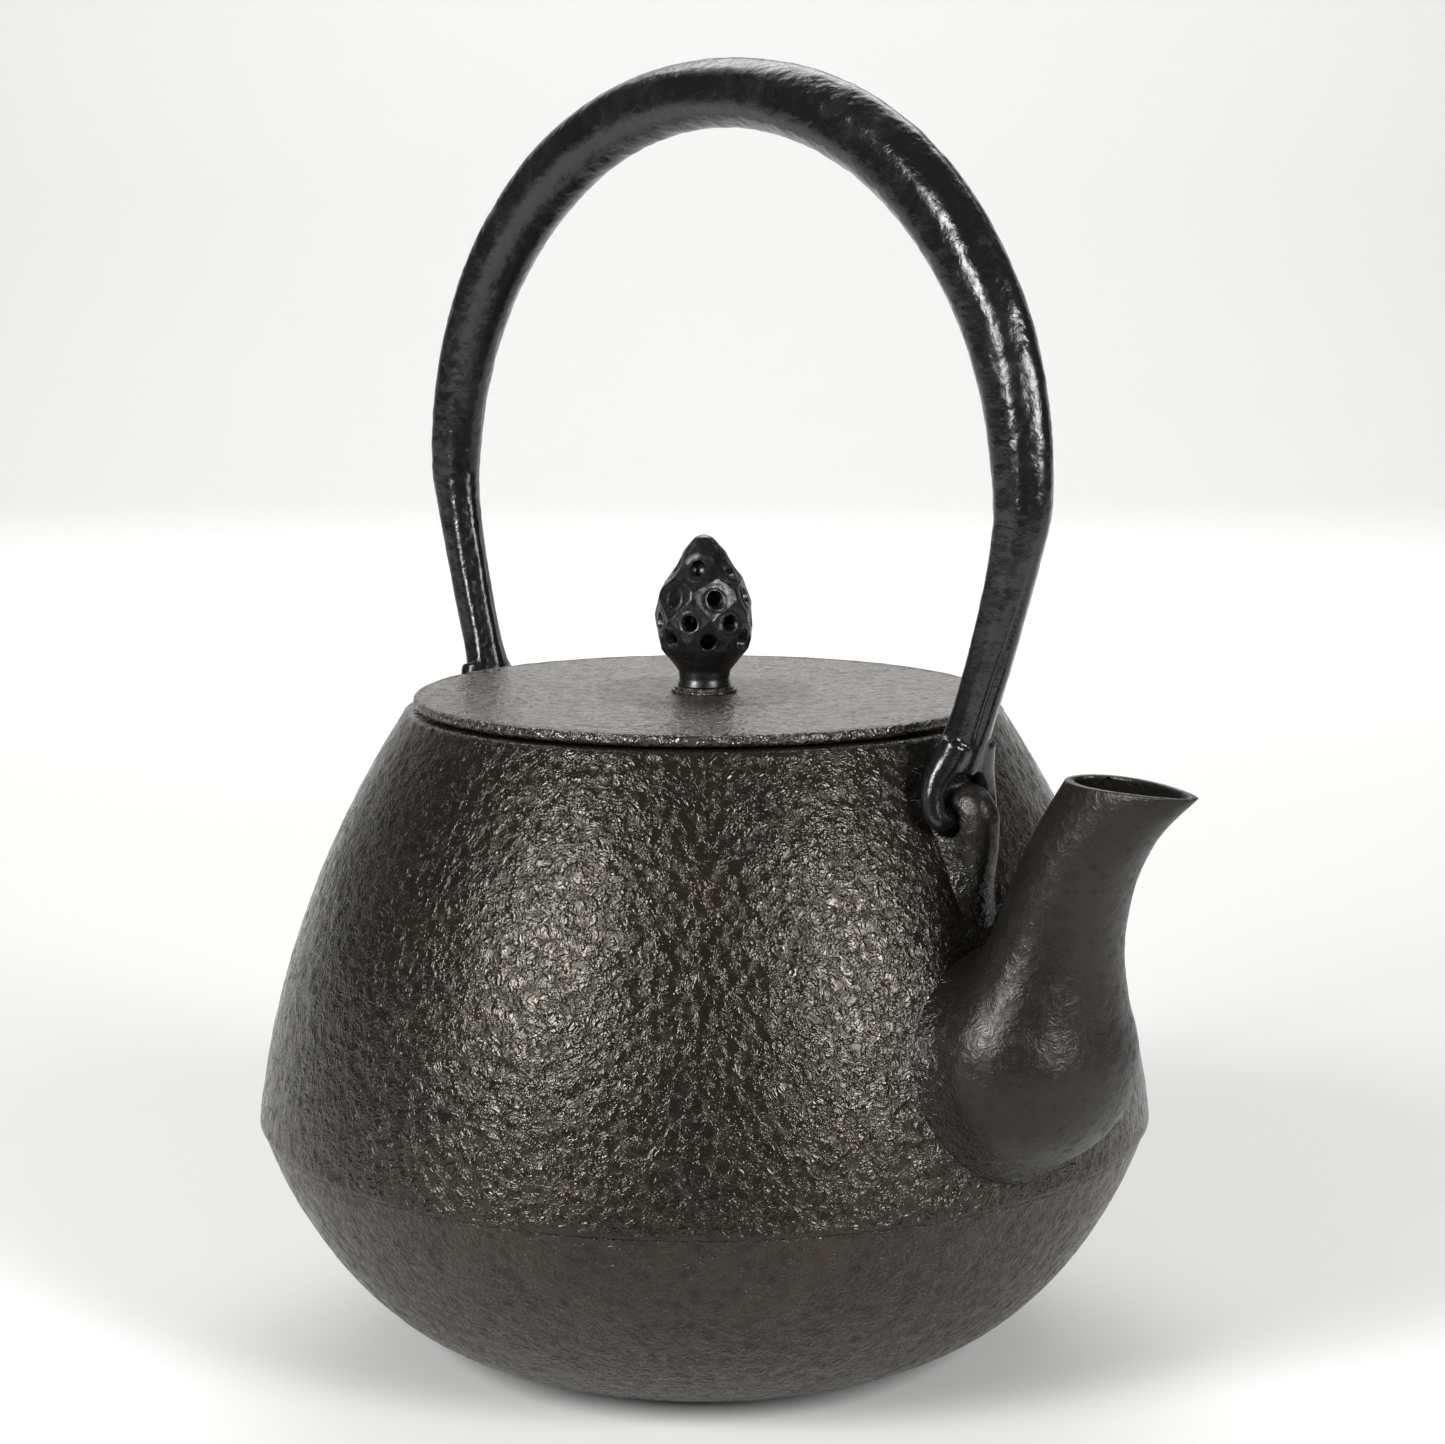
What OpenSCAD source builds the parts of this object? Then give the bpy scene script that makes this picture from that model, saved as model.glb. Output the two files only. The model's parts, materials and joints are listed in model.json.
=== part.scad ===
// Cast-iron teapot with a bail handle, a lift-off lid and a removable infuser basket.
// Frame: origin at the centre of the flat base, +Z up, +X towards the spout, millimetres.
// The bail and the spout lie in the XZ plane.

/* [Body] */
// Largest radius of the body, at the belly
belly_r = 85.1; // [84:0.1:88]
// Height of the belly corner above the base
belly_z = 45.6; // [45:0.1:48]
// Height of the line between the lower and the upper shell
seam_z = 44.2; // [43:0.1:45]
// Step of the upper shell beyond the lower one
seam_step = 0.3; // [0.1:0.1:1]
// Radius of the flat base
base_r = 36.5; // [34:0.5:40]
// Height of the mouth rim
mouth_z = 121.3; // [119:0.1:122]
// Wall thickness of the casting
wall = 3.5; // [3:0.1:4.5]
// Radius of the arc that the shoulder follows
shoulder_arc = 180; // [176:1:190]
// Slope of the shoulder just above the belly, in degrees from vertical
shoulder_start = 7.8; // [7:0.1:8.5]

/* [Mouth] */
// Radius of the mouth opening
mouth_r = 45; // [44.6:0.1:46]
// Radius of the recess that the basket rim sits in
recess_r = 49; // [48.8:0.1:50]
// Depth of that recess
recess_depth = 1.6; // [1.4:0.1:2]
// Thickness of the casting around the mouth
lip_t = 5.3; // [4.5:0.1:6]

/* [Spout] */
// Wall thickness of the spout
spout_wall = 2.8; // [2.2:0.1:3.2]
// Radius of the hole from the body into the spout
spout_hole_r = 11; // [9:0.5:12]
// Height of that hole
spout_hole_z = 66; // [64:1:68]

/* [Lid] */
// Radius of the lid
lid_r = 54.9; // [53:0.1:55.5]
// Thickness of the lid plate
lid_t = 2.3; // [2:0.1:2.5]
// Gap under the lid plate
lid_gap = 0.3; // [0.2:0.1:0.4]
// Outer radius of the collar under the lid
collar_r = 42.6; // [41:0.1:42.8]
// Wall thickness of that collar
collar_t = 2.4; // [2:0.1:3]
// Depth of that collar
collar_h = 5; // [3:0.5:6]

/* [Knob] */
// Height of the bud from its seat to its tip
knob_h = 28.6; // [27:0.1:30]
// Largest radius of the bud
knob_r = 9.8; // [9:0.1:10.5]
// Radius of the pierced holes
pierce_r = 1.6; // [1.2:0.1:1.7]
// Radius of the stud that the bud turns on
stud_r = 2; // [1.8:0.1:2.4]
// Running clearance of the stud in the lid
stud_fit = 0.05; // [0.02:0.01:0.1]

/* [Bail] */
// Height of the bail's centreline at its top
bail_z = 234.9; // [232:0.1:237]
// Widest half-width of the bail's centreline
bail_w = 78.7; // [77:0.1:80]
// Height at which the bail is widest
bail_wide_z = 162.5; // [160:0.5:165]
// Wall thickness of the hollow bail
bail_wall = 1.6; // [1.2:0.1:2]
// Lean of the loose bail at rest, in degrees
bail_lean = 1.5; // [0:0.1:3]

/* [Lugs] */
// Distance of the lug holes from the axis
pin_x = 67.2; // [67:0.1:68]
// Height of the lug holes
pin_z = 108.5; // [108:0.1:109]
// Radius of the pins at the ends of the prongs
pin_r = 1.9; // [1.7:0.1:2]
// Radius of the lug holes
lug_hole_r = 2.9; // [2.8:0.1:3]
// Thickness of a lug
lug_t = 8; // [7:0.1:8.2]
// Radius of a lug's round end
lug_r = 6.6; // [6.3:0.1:6.8]

/* [Infuser] */
// Inner radius of the basket's collar
basket_r = 43.5; // [43.2:0.1:43.8]
// Radius of the basket's rim
rim_r = 48.6; // [48:0.1:48.7]
// Depth of the basket under its rim
basket_h = 62; // [50:1:66]
// Thickness of the sheet steel
sheet = 0.6; // [0.5:0.1:0.8]

/* [Hidden] */
$fn = 96;

// Colours of the lacquered iron, the lid and the steel
iron = [0.13, 0.12, 0.115];
lower_iron = [0.17, 0.14, 0.125];
lid_iron = [0.19, 0.17, 0.155];
bail_iron = [0.09, 0.09, 0.09];
steel = [0.72, 0.73, 0.74];

sink = 0.6;                          // how far the spout and lugs are set into the shell
lid_z = mouth_z + lid_gap;           // underside of the lid plate
seat_z = lid_z + lid_t;              // top of the lid plate
seat_t = 1;
seat_r = 6.2;
face_gap = 0.1;                      // gap between faces that turn on each other
bud_z = seat_z + seat_t + face_gap;  // foot of the bud
ledge_z = mouth_z - recess_depth;    // ledge that the basket rim rests on
rim_t = 0.9;
rim_z = ledge_z + 0.2;               // underside of the basket rim
basket_z = rim_z - basket_h;         // foot of the basket
collar_depth = 9;                    // plain collar of the basket
hoop_h = 6;
tube_end_z = 126;                    // where the hollow bail meets its solid forks

// ---- curves ----
function bezier(p, t) =
    pow(1 - t, 3) * p[0] + 3 * pow(1 - t, 2) * t * p[1]
    + 3 * (1 - t) * t * t * p[2] + pow(t, 3) * p[3];
function curve(p, n) = [for (i = [0 : n]) bezier(p, i / n)];
// Catmull-Rom point at parameter s (0 to 1) along a list of points or numbers
function spline(p, s) =
    let (
        last = len(p) - 1,
        i = min(floor(s * last), last - 1),
        u = s * last - i,
        a = p[max(i - 1, 0)], b = p[i], c = p[i + 1], d = p[min(i + 2, last)]
    )
    0.5 * (2 * b + (c - a) * u + (2 * a - 5 * b + 4 * c - d) * u * u
    + (3 * b - a - 3 * c + d) * u * u * u);
function unit(v) = v / norm(v);
// Points of a flat curve moved sideways by a distance, to the left of its direction
function beside(p, t) = [
    for (i = [0 : len(p) - 1])
        let (d = unit(p[min(i + 1, len(p) - 1)] - p[max(i - 1, 0)]))
        p[i] + t * [-d.y, d.x]
];

// ---- body outlines, as [radius, height] ----
foot_steps = 16;
shoulder_steps = 22;
lower_r = belly_r - seam_step;
foot_out = curve([[base_r, 0], [65, 0], [80.7, 30.2], [lower_r, seam_z]], foot_steps);
foot_in = beside(foot_out, wall);
arc_r = belly_r - shoulder_arc * cos(shoulder_start);
arc_z = belly_z - shoulder_arc * sin(shoulder_start);
// Radius of the shoulder at a height, moved inwards by an inset
function shoulder_at(z, inset = 0) =
    arc_r + sqrt(pow(shoulder_arc - inset, 2) - pow(z - arc_z, 2));
function shoulder(from, to, inset, n) = [
    for (i = [0 : n]) let (z = from + (to - from) * i / n) [shoulder_at(z, inset), z]
];

module lower_shell() color(lower_iron)
    rotate_extrude()
        intersection() {
            polygon(concat(
                [[0, 0]],
                foot_out,
                [for (i = [foot_steps : -1 : 0]) foot_in[i]],
                [[0, wall]]
            ));
            square([belly_r + 1, seam_z]);
        }

module upper_shell() color(iron)
    difference() {
        rotate_extrude()
            polygon(concat(
                [[belly_r - 0.1, seam_z]],
                shoulder(belly_z, mouth_z, 0, shoulder_steps),
                [[recess_r, mouth_z], [recess_r, ledge_z]],
                [[mouth_r, ledge_z], [mouth_r, mouth_z - lip_t]],
                shoulder(mouth_z - lip_t, seam_z, wall, shoulder_steps)
            ));
        translate([mouth_r, 0, spout_hole_z])
            rotate([0, 90, 0]) cylinder(h = belly_r, r = spout_hole_r);
    }

// The solid shape of the upper shell, drawn in by an inset, used to trim what stands on it
module shell_core(inset)
    rotate_extrude()
        polygon(concat(
            [[0, 30], [belly_r - inset, 30]],
            shoulder(belly_z, mouth_z, inset, shoulder_steps),
            [[0, mouth_z]]
        ));

// ---- spout: rings between its front and back outlines in the XZ plane ----
spout_front = [
    [76, 47.6], [88.5, 50.6], [97.2, 57.6], [100.9, 68], [99.9, 79], [99.9, 90],
    [103, 101], [109, 110.2], [118.1, 118.5]
];
spout_back = [
    [66, 78], [67, 79], [69, 80.5], [71.5, 83], [75.4, 86.5], [79, 92.5],
    [83, 102.4], [87.2, 111.2], [92.2, 119.2]
];
spout_half = [16, 19.5, 20.6, 19, 15.2, 12.4, 10.6, 9.6, 8.6];
spout_rings = 21;
spout_sides = 24;
// Ring at s along the spout: y narrows towards the beak near the mouth
function spout_ring(s, inset) =
    let (
        f = spline(spout_front, s), b = spline(spout_back, s),
        mid = (f + b) / 2, d = unit(f - b),
        reach = norm(f - b) / 2 - inset, half = spline(spout_half, s) - inset,
        beak = 0.5 * pow(max(0, (s - 0.7) / 0.3), 2)
    )
    [for (k = [0 : spout_sides - 1])
        let (
            a = 360 * k / spout_sides,
            p = mid + d * reach * cos(a),
            y = half * sin(a) * (1 - beak * (1 + cos(a)) / 2)
        )
        [p.x, y, p.y]];
module loft(rings) {
    n = len(rings[0]);
    m = len(rings);
    polyhedron(
        points = [for (r = rings) each r],
        faces = concat(
            [[for (k = [0 : n - 1]) k]],
            [for (j = [0 : m - 2]) for (k = [0 : n - 1])
                let (a = j * n + k, b = j * n + (k + 1) % n) each [[b, a, b + n], [b + n, a, a + n]]],
            [[for (k = [n - 1 : -1 : 0]) (m - 1) * n + k]]
        )
    );
}
// Channel rings run past the mouth and, at the root, into the body
function channel_ring(s) =
    let (r = spout_ring(min(s, 1), spout_wall), over = max(0, s - 1) * 40)
    [for (p = r) p + [0, 0, over]];

module spout() color(iron)
    difference() {
        loft([for (j = [0 : spout_rings]) spout_ring(j / spout_rings, 0)]);
        loft([for (j = [0 : spout_rings + 2]) channel_ring(j / spout_rings)]);
        shell_core(sink);
    }

// ---- lugs ----
lug_x = 68;                // centre of its round end
lug_z = 108.4;
lug_out = lug_x + lug_r;   // its farthest point from the axis
lug_top = lug_z + lug_r;
lug_foot = 91;             // where its outer edge runs into the shoulder
// Side view of a lug, in the XZ plane, thicker than the bars that round it
module lug_plate()
    rotate([90, 0, 0]) {
        translate([lug_x, lug_z, 0]) cylinder(h = lug_t + 4, r = lug_r, center = true);
        linear_extrude(height = lug_t + 4, center = true)
            polygon([
                [62, lug_z], [lug_out, lug_z], [74.3, 103.5], [73.1, 97.5],
                [72.9, lug_foot], [66, lug_foot]
            ]);
    }
// Half of a circle of radius r that ends a bar, as points around its centre
function bar_end(r) = [for (a = [-90 : 15 : 90]) [r * cos(a), r * sin(a)]];
// Bar that rounds a lug over its top, seen along X
module lug_dome()
    translate([60, 0, lug_top - lug_t / 2]) rotate([0, -90, 0])
        linear_extrude(height = 40, center = true)
            polygon(concat([[-30, -lug_t / 2]], bar_end(lug_t / 2), [[-30, lug_t / 2]]));
// Bar that rounds its outer face, seen along Z
nose_r = lug_t / 2 + 0.6;
module lug_nose()
    translate([lug_out - nose_r, 0, lug_foot - 2])
        linear_extrude(height = 30)
            polygon(concat([[-30, -nose_r]], bar_end(nose_r), [[-30, nose_r]]));
module lug() color(iron)
    difference() {
        intersection() {
            lug_plate();
            lug_dome();
            lug_nose();
        }
        shell_core(sink);
        translate([pin_x, 0, pin_z])
            rotate([90, 0, 0]) cylinder(h = 2 * lug_t, r = lug_hole_r, center = true);
    }
module front_lug() lug();
module rear_lug() mirror([1, 0, 0]) lug();

// ---- lid ----
edge_r = 1.1;    // rounding of the lid's rim
module lid_plate() color(lid_iron)
    difference() {
        union() {
            rotate_extrude()
                polygon(concat(
                    [[0, lid_z]],
                    [for (a = [-90 : 15 : 90])
                        [lid_r - edge_r + edge_r * cos(a), lid_z + lid_t / 2 + lid_t / 2 * sin(a)]],
                    [[0, seat_z]]
                ));
            translate([0, 0, lid_z - collar_h])
                difference() {
                    cylinder(h = collar_h + 0.5, r = collar_r);
                    translate([0, 0, -1]) cylinder(h = collar_h + 1, r = collar_r - collar_t);
                }
        }
        translate([0, 0, lid_z - 1]) cylinder(h = lid_t + 2, r = stud_r + stud_fit);
    }

module knob_seat() color(lid_iron)
    translate([0, 0, seat_z])
        difference() {
            union() {
                cylinder(h = seat_t / 2, r = seat_r);
                cylinder(h = seat_t, r = seat_r - 0.6);
            }
            translate([0, 0, -1]) cylinder(h = seat_t + 2, r = stud_r + stud_fit);
        }

// ---- knob: a pierced, hollow bud on a short neck ----
// Outline as [share of knob_r, share of knob_h]
bud_outline = [
    [0.52, 0], [0.49, 0.05], [0.52, 0.1], [0.70, 0.18], [0.87, 0.245], [0.96, 0.32], [1, 0.40],
    [0.97, 0.53], [0.90, 0.62], [0.78, 0.71], [0.60, 0.81], [0.43, 0.89], [0.24, 0.96],
    [0.15, 0.985], [0.05, 1]
];
// Outline of the hollow inside, in the same shares
bud_hollow = [
    [0, 0.28], [0.70, 0.28], [0.80, 0.40], [0.73, 0.56], [0.35, 0.79], [0, 0.86]
];
// Rows of holes as [share of knob_h, number of holes, angle of the first]
pierced_rows = [[0.32, 7, 15], [0.44, 7, 43], [0.60, 6, 33], [0.79, 5, 17]];
socket_h = 4;      // how far the stud reaches into the bud
function in_bud(p) = [p.x * knob_r, p.y * knob_h];
module knob_bud() color(iron)
    translate([0, 0, bud_z])
        difference() {
            rotate_extrude()
                polygon(concat([[0, 0]], [for (p = bud_outline) in_bud(p)], [[0, knob_h]]));
            rotate_extrude() polygon([for (p = bud_hollow) in_bud(p)]);
            for (row = pierced_rows)
                for (i = [0 : row[1] - 1])
                    translate([0, 0, row[0] * knob_h])
                        rotate([0, 90, row[2] + 360 * i / row[1]])
                            cylinder(h = knob_r + 1, r = pierce_r, $fn = 8);
            translate([0, 0, -1]) cylinder(h = socket_h + 1, r = stud_r);
        }

washer_t = 1;
washer_r = 5;
washer_z = lid_z - face_gap - washer_t;    // underside of the washer
head_t = 2;                                // head of the stud, under the washer
module knob_stud() color(iron)
    union() {
        translate([0, 0, washer_z - 0.5]) cylinder(h = bud_z + socket_h - washer_z + 0.5, r = stud_r);
        translate([0, 0, washer_z - head_t]) cylinder(h = head_t, r1 = 2.4, r2 = 3.4);
    }
module stud_washer() color(iron)
    translate([0, 0, washer_z])
        difference() {
            cylinder(h = washer_t, r = washer_r);
            translate([0, 0, -1]) cylinder(h = washer_t + 2, r = stud_r);
        }

// ---- bail: a hollow tube on a planar path, oval in section ----
bail_top_half = [[0, bail_z], [45.5, bail_z], [bail_w, 201.9], [bail_w, bail_wide_z]];
bail_low_half = [[bail_w, bail_wide_z], [bail_w, 155.3], [69.3, 125.1], [64.9, 117]];
bail_radii = [6.44, 7.09, 6.37, 4.69, 4.16];      // from the top to the foot, in the XZ plane
bail_flat = [0.97, 0.90, 0.84, 0.86, 0.91];       // the same radii across it, as a share
bail_sides = 16;
top_steps = 15;
low_steps = 10;
// Half of the centreline, from the top down to the foot
bail_half = concat(
    curve(bail_top_half, top_steps),
    [for (i = [1 : low_steps]) bezier(bail_low_half, i / low_steps)]
);
tube_half = [for (p = bail_half) if (p.y >= tube_end_z - 1) p];
tube_last = len(tube_half) - 1;
tube_share = tube_last / (len(bail_half) - 1);
// Ring around a point of the half centreline; side is 1 towards the spout and -1 away from it
function bail_ring(i, side, inset) =
    let (
        p = tube_half[i],
        d = unit(tube_half[min(i + 1, tube_last)] - tube_half[max(i - 1, 0)] + (i == 0 ? [1, 0] : [0, 0])),
        t = i == 0 ? [1, 0] : d,
        s = tube_share * i / tube_last,
        a = spline(bail_radii, s) - inset,
        b = spline(bail_radii, s) * spline(bail_flat, s) - inset
    )
    [for (k = [0 : bail_sides - 1])
        let (g = 360 * k / bail_sides, q = p + [-t.y, t.x] * a * cos(g))
        [side * q.x, b * sin(g), q.y]];
function bail_rings(inset) = concat(
    [for (i = [tube_last : -1 : 1]) bail_ring(i, 1, inset)],
    [for (i = [0 : tube_last]) bail_ring(i, -1, inset)]
);
// The loose bail leans about the line through both lug holes
module leaning()
    translate([0, 0, pin_z]) rotate([-bail_lean, 0, 0]) translate([0, 0, -pin_z]) children();
// Moves the two end rings of the bore past the tube's ends
function stretched(rings) =
    let (m = len(rings) - 1, a = (rings[0] - rings[1]) * 0.5, b = (rings[m] - rings[m - 1]) * 0.5)
    [for (i = [0 : m]) i == 0 ? rings[0] + a : i == m ? rings[m] + b : rings[i]];
module bail_tube() color(bail_iron)
    leaning()
        difference() {
            loft(bail_rings(0));
            loft(stretched(bail_rings(bail_wall)));
        }

// ---- forks: two prongs whose tips hook into the lug hole from both sides ----
// Each entry is a centre and a radius, for the prong on the +Y side
prong = [
    [[69.6, 0.8, 126], 3.4], [[67.4, 2.5, 120], 3.1], [[65.8, 5.9, 115.3], 2.2],
    [[65.9, 6.7, 111.5], 2], [[pin_x - 0.2, 6.3, pin_z + 0.2], 2]
];
module bead(b)
    translate(b[0]) sphere(r = b[1], $fn = 20);
module fork() color(bail_iron)
    leaning()
        for (side = [0, 1])
            mirror([0, side, 0]) {
                for (i = [0 : len(prong) - 2])
                    hull() {
                        bead(prong[i]);
                        bead(prong[i + 1]);
                    }
                translate([pin_x, 6.3, pin_z]) rotate([90, 0, 0]) cylinder(h = 4.6, r = pin_r, $fn = 24);
            }
module front_fork() fork();
module rear_fork() mirror([1, 0, 0]) fork();

// ---- infuser basket ----
wall_top = rim_z - collar_depth + 2;
module ring_band(inner, t, z, h)
    translate([0, 0, z])
        difference() {
            cylinder(h = h, r = inner + t);
            translate([0, 0, -1]) cylinder(h = h + 2, r = inner);
        }
module infuser_rim() color(steel) ring_band(basket_r + 0.8, rim_r - basket_r - 0.8, rim_z, rim_t);
module infuser_collar() color(steel) ring_band(basket_r, 0.8, rim_z - collar_depth, collar_depth + rim_t);
module infuser_wall() color(steel) ring_band(basket_r - sheet, sheet, basket_z, wall_top - basket_z);
module infuser_hoop() color(steel) ring_band(basket_r, 0.8, basket_z, hoop_h);
module infuser_floor() color(steel)
    translate([0, 0, basket_z + 1]) cylinder(h = sheet, r = basket_r - sheet);

lower_shell();
upper_shell();
spout();
front_lug();
rear_lug();
lid_plate();
knob_seat();
knob_bud();
knob_stud();
stud_washer();
bail_tube();
front_fork();
rear_fork();
infuser_rim();
infuser_collar();
infuser_wall();
infuser_hoop();
infuser_floor();
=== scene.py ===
"""Looks of the cast-iron teapot around its CAD frame: cast skins, hammered bail, pierced bud and basket.

Shapes are worked out in millimetres and written to Blender in metres."""

import json
import math

import bmesh
import bpy
import numpy as np
from mathutils import Euler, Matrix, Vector


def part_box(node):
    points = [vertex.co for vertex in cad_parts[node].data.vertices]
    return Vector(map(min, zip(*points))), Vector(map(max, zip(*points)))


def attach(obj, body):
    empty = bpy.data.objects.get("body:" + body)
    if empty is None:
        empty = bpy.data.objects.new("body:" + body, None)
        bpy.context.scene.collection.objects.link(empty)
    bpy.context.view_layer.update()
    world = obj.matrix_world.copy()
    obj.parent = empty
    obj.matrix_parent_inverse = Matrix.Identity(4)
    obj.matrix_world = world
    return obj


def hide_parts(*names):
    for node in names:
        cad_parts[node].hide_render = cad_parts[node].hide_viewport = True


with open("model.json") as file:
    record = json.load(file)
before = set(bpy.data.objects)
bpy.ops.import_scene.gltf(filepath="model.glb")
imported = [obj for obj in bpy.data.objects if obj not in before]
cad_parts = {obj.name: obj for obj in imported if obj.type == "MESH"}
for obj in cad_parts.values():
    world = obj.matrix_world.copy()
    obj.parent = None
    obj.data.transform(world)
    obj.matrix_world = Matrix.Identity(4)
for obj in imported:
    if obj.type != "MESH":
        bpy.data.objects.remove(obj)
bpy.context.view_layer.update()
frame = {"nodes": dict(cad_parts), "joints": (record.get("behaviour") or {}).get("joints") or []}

MM = 0.001
TURN = 2 * math.pi


# ---------------------------------------------------------------- boxes of the CAD nodes, in millimetres
def node_box(name):
    low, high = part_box(name)
    return np.array(low) / MM, np.array(high) / MM


upper_low, upper_high = node_box("upper_shell")
lower_high = node_box("lower_shell")[1]
spout_high = node_box("spout")[1]
lid_low, lid_high = node_box("lid_plate")
bud_low, bud_high = node_box("knob_bud")
wall_low, wall_high = node_box("infuser_wall")
rim_low, rim_high = node_box("infuser_rim")
floor_low, floor_high = node_box("infuser_floor")
joints = {joint["name"]: joint for joint in frame["joints"]}

BELLY_R = upper_high[1]
SEAM_Z = upper_low[2]
PIN_X = 67.2
PIN_Z = 1000 * joints["handle_tilt"]["pos_m"][2]
MOUTH_Z = upper_high[2]
WALL = 3.5


# ---------------------------------------------------------------- noise on points, in millimetres
def hashed(cell, seed):
    """Pseudo-random numbers from 0 to 1, one for each lattice cell."""
    mixed = cell[:, 0] * 374761393 + cell[:, 1] * 668265263 + cell[:, 2] * 2246822519 + seed * 3266489917
    mixed = (mixed ^ (mixed >> 13)) * 1274126177 & 0xFFFFFFFF
    return ((mixed ^ (mixed >> 16)) & 0xFFFF) / 65535.0


def noise(points, size, seed=0):
    """Smooth value noise from 0 to 1 with features of the given size."""
    scaled = np.asarray(points, float) / size + 1000.0
    cell = np.floor(scaled).astype(np.int64)
    part = scaled - cell
    part = part * part * (3 - 2 * part)
    total = np.zeros(len(scaled))
    for corner in range(8):
        step = np.array([corner & 1, corner >> 1 & 1, corner >> 2 & 1])
        weight = np.prod(np.where(step, part, 1 - part), axis=1)
        total += weight * hashed(cell + step, seed)
    return total


def ridges(points, size, seed=0):
    """Noise whose crests form a network of narrow ridges, from 0 to 1."""
    return 1 - np.abs(2 * noise(points, size, seed) - 1)


# ---------------------------------------------------------------- curves
def bezier(points, t):
    t = np.atleast_1d(t)[:, None]
    p = np.asarray(points, float)
    return (1 - t) ** 3 * p[0] + 3 * (1 - t) ** 2 * t * p[1] + 3 * (1 - t) * t**2 * p[2] + t**3 * p[3]


def spline(values, s):
    """Catmull-Rom through evenly spaced values, at parameters s from 0 to 1."""
    v = np.asarray(values, float)
    last = len(v) - 1
    x = np.clip(np.atleast_1d(s), 0, 1) * last
    i = np.minimum(x.astype(int), last - 1)
    u = x - i
    if v.ndim > 1:
        u = u[:, None]
    a, b, c, d = v[np.maximum(i - 1, 0)], v[i], v[i + 1], v[np.minimum(i + 2, last)]
    return 0.5 * (2 * b + (c - a) * u + (2 * a - 5 * b + 4 * c - d) * u**2 + (3 * b - a - 3 * c + d) * u**3)


def resampled(points, step):
    """The same polyline with points about one step apart."""
    p = np.asarray(points, float)
    run = np.concatenate([[0], np.cumsum(np.linalg.norm(np.diff(p, axis=0), axis=1))])
    count = max(2, int(round(run[-1] / step)) + 1)
    at = np.linspace(0, run[-1], count)
    return np.stack([np.interp(at, run, p[:, k]) for k in range(p.shape[1])], axis=1)


# ---------------------------------------------------------------- meshes from rings of points
def new_object(name, points, faces):
    mesh = bpy.data.meshes.new(name)
    mesh.from_pydata((np.asarray(points) * MM).tolist(), [], faces)
    mesh.validate()
    made = bpy.data.objects.new(name, mesh)
    bpy.context.scene.collection.objects.link(made)
    return made


def ring_mesh(name, rings, closed=False):
    """A skin through rings of equal length: closed into a loop, or open with its two ends capped by fans."""
    rings = np.asarray(rings, float)
    count, sides = rings.shape[:2]
    points = rings.reshape(-1, 3)
    faces = []
    for j in range(count if closed else count - 1):
        low, high = j * sides, (j + 1) % count * sides
        for k in range(sides):
            after = (k + 1) % sides
            faces.append((low + k, low + after, high + after, high + k))
    if not closed:
        points = np.vstack([points, rings[0].mean(0), rings[-1].mean(0)])
        first, last = len(points) - 2, len(points) - 1
        for k in range(sides):
            after = (k + 1) % sides
            faces.append((first, after, k))
            faces.append((last, (count - 1) * sides + k, (count - 1) * sides + after))
    return new_object(name, points, faces)


def turned(outline, sides):
    """Rings of an outline of (radius, height) points turned about Z."""
    outline = np.asarray(outline, float)
    angle = np.arange(sides) * TURN / sides
    rings = np.empty((len(outline), sides, 3))
    rings[..., 0] = outline[:, :1] * np.cos(angle)
    rings[..., 1] = outline[:, :1] * np.sin(angle)
    rings[..., 2] = outline[:, 1:]
    return rings


def points_of(obj):
    flat = np.empty(len(obj.data.vertices) * 3)
    obj.data.vertices.foreach_get("co", flat)
    return flat.reshape(-1, 3) / MM


def normals_of(obj):
    flat = np.empty(len(obj.data.vertices) * 3)
    obj.data.vertices.foreach_get("normal", flat)
    return flat.reshape(-1, 3)


def set_points(obj, points):
    obj.data.vertices.foreach_set("co", (points * MM).ravel())
    obj.data.update()


def raise_skin(obj, height):
    """Moves each point along its normal by height(points), in millimetres."""
    points = points_of(obj)
    set_points(obj, points + normals_of(obj) * height(points)[:, None])


def outward(obj):
    """Turns every face to look out of the solid."""
    work = bmesh.new()
    work.from_mesh(obj.data)
    bmesh.ops.recalc_face_normals(work, faces=work.faces)
    work.to_mesh(obj.data)
    work.free()
    obj.data.update()


def apply_modifiers(obj):
    with bpy.context.temp_override(object=obj, active_object=obj, selected_objects=[obj]):
        for modifier in list(obj.modifiers):
            bpy.ops.object.modifier_apply(modifier=modifier.name)


def cut(obj, *tools):
    """Takes the tools' solids away from the object and deletes the tools."""
    for tool in tools:
        step = obj.modifiers.new("cut", "BOOLEAN")
        step.operation = "DIFFERENCE"
        step.solver = "MANIFOLD"
        step.object = tool
        apply_modifiers(obj)
        bpy.data.objects.remove(tool)


def rod(name, radius, start, end, sides=40):
    """A straight round rod between two points, as a tool for cutting."""
    start, end = np.asarray(start, float), np.asarray(end, float)
    along = (end - start) / np.linalg.norm(end - start)
    across = np.cross(along, [0.0, 0.0, 1.0] if abs(along[2]) < 0.9 else [1.0, 0.0, 0.0])
    across /= np.linalg.norm(across)
    other = np.cross(along, across)
    angle = (np.arange(sides) * TURN / sides)[:, None]
    ring = radius * (np.cos(angle) * across + np.sin(angle) * other)
    made = ring_mesh(name, [start + ring, end + ring])
    outward(made)
    return made


def smooth_shading(obj):
    obj.data.polygons.foreach_set("use_smooth", [True] * len(obj.data.polygons))
    obj.data.update()


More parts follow.
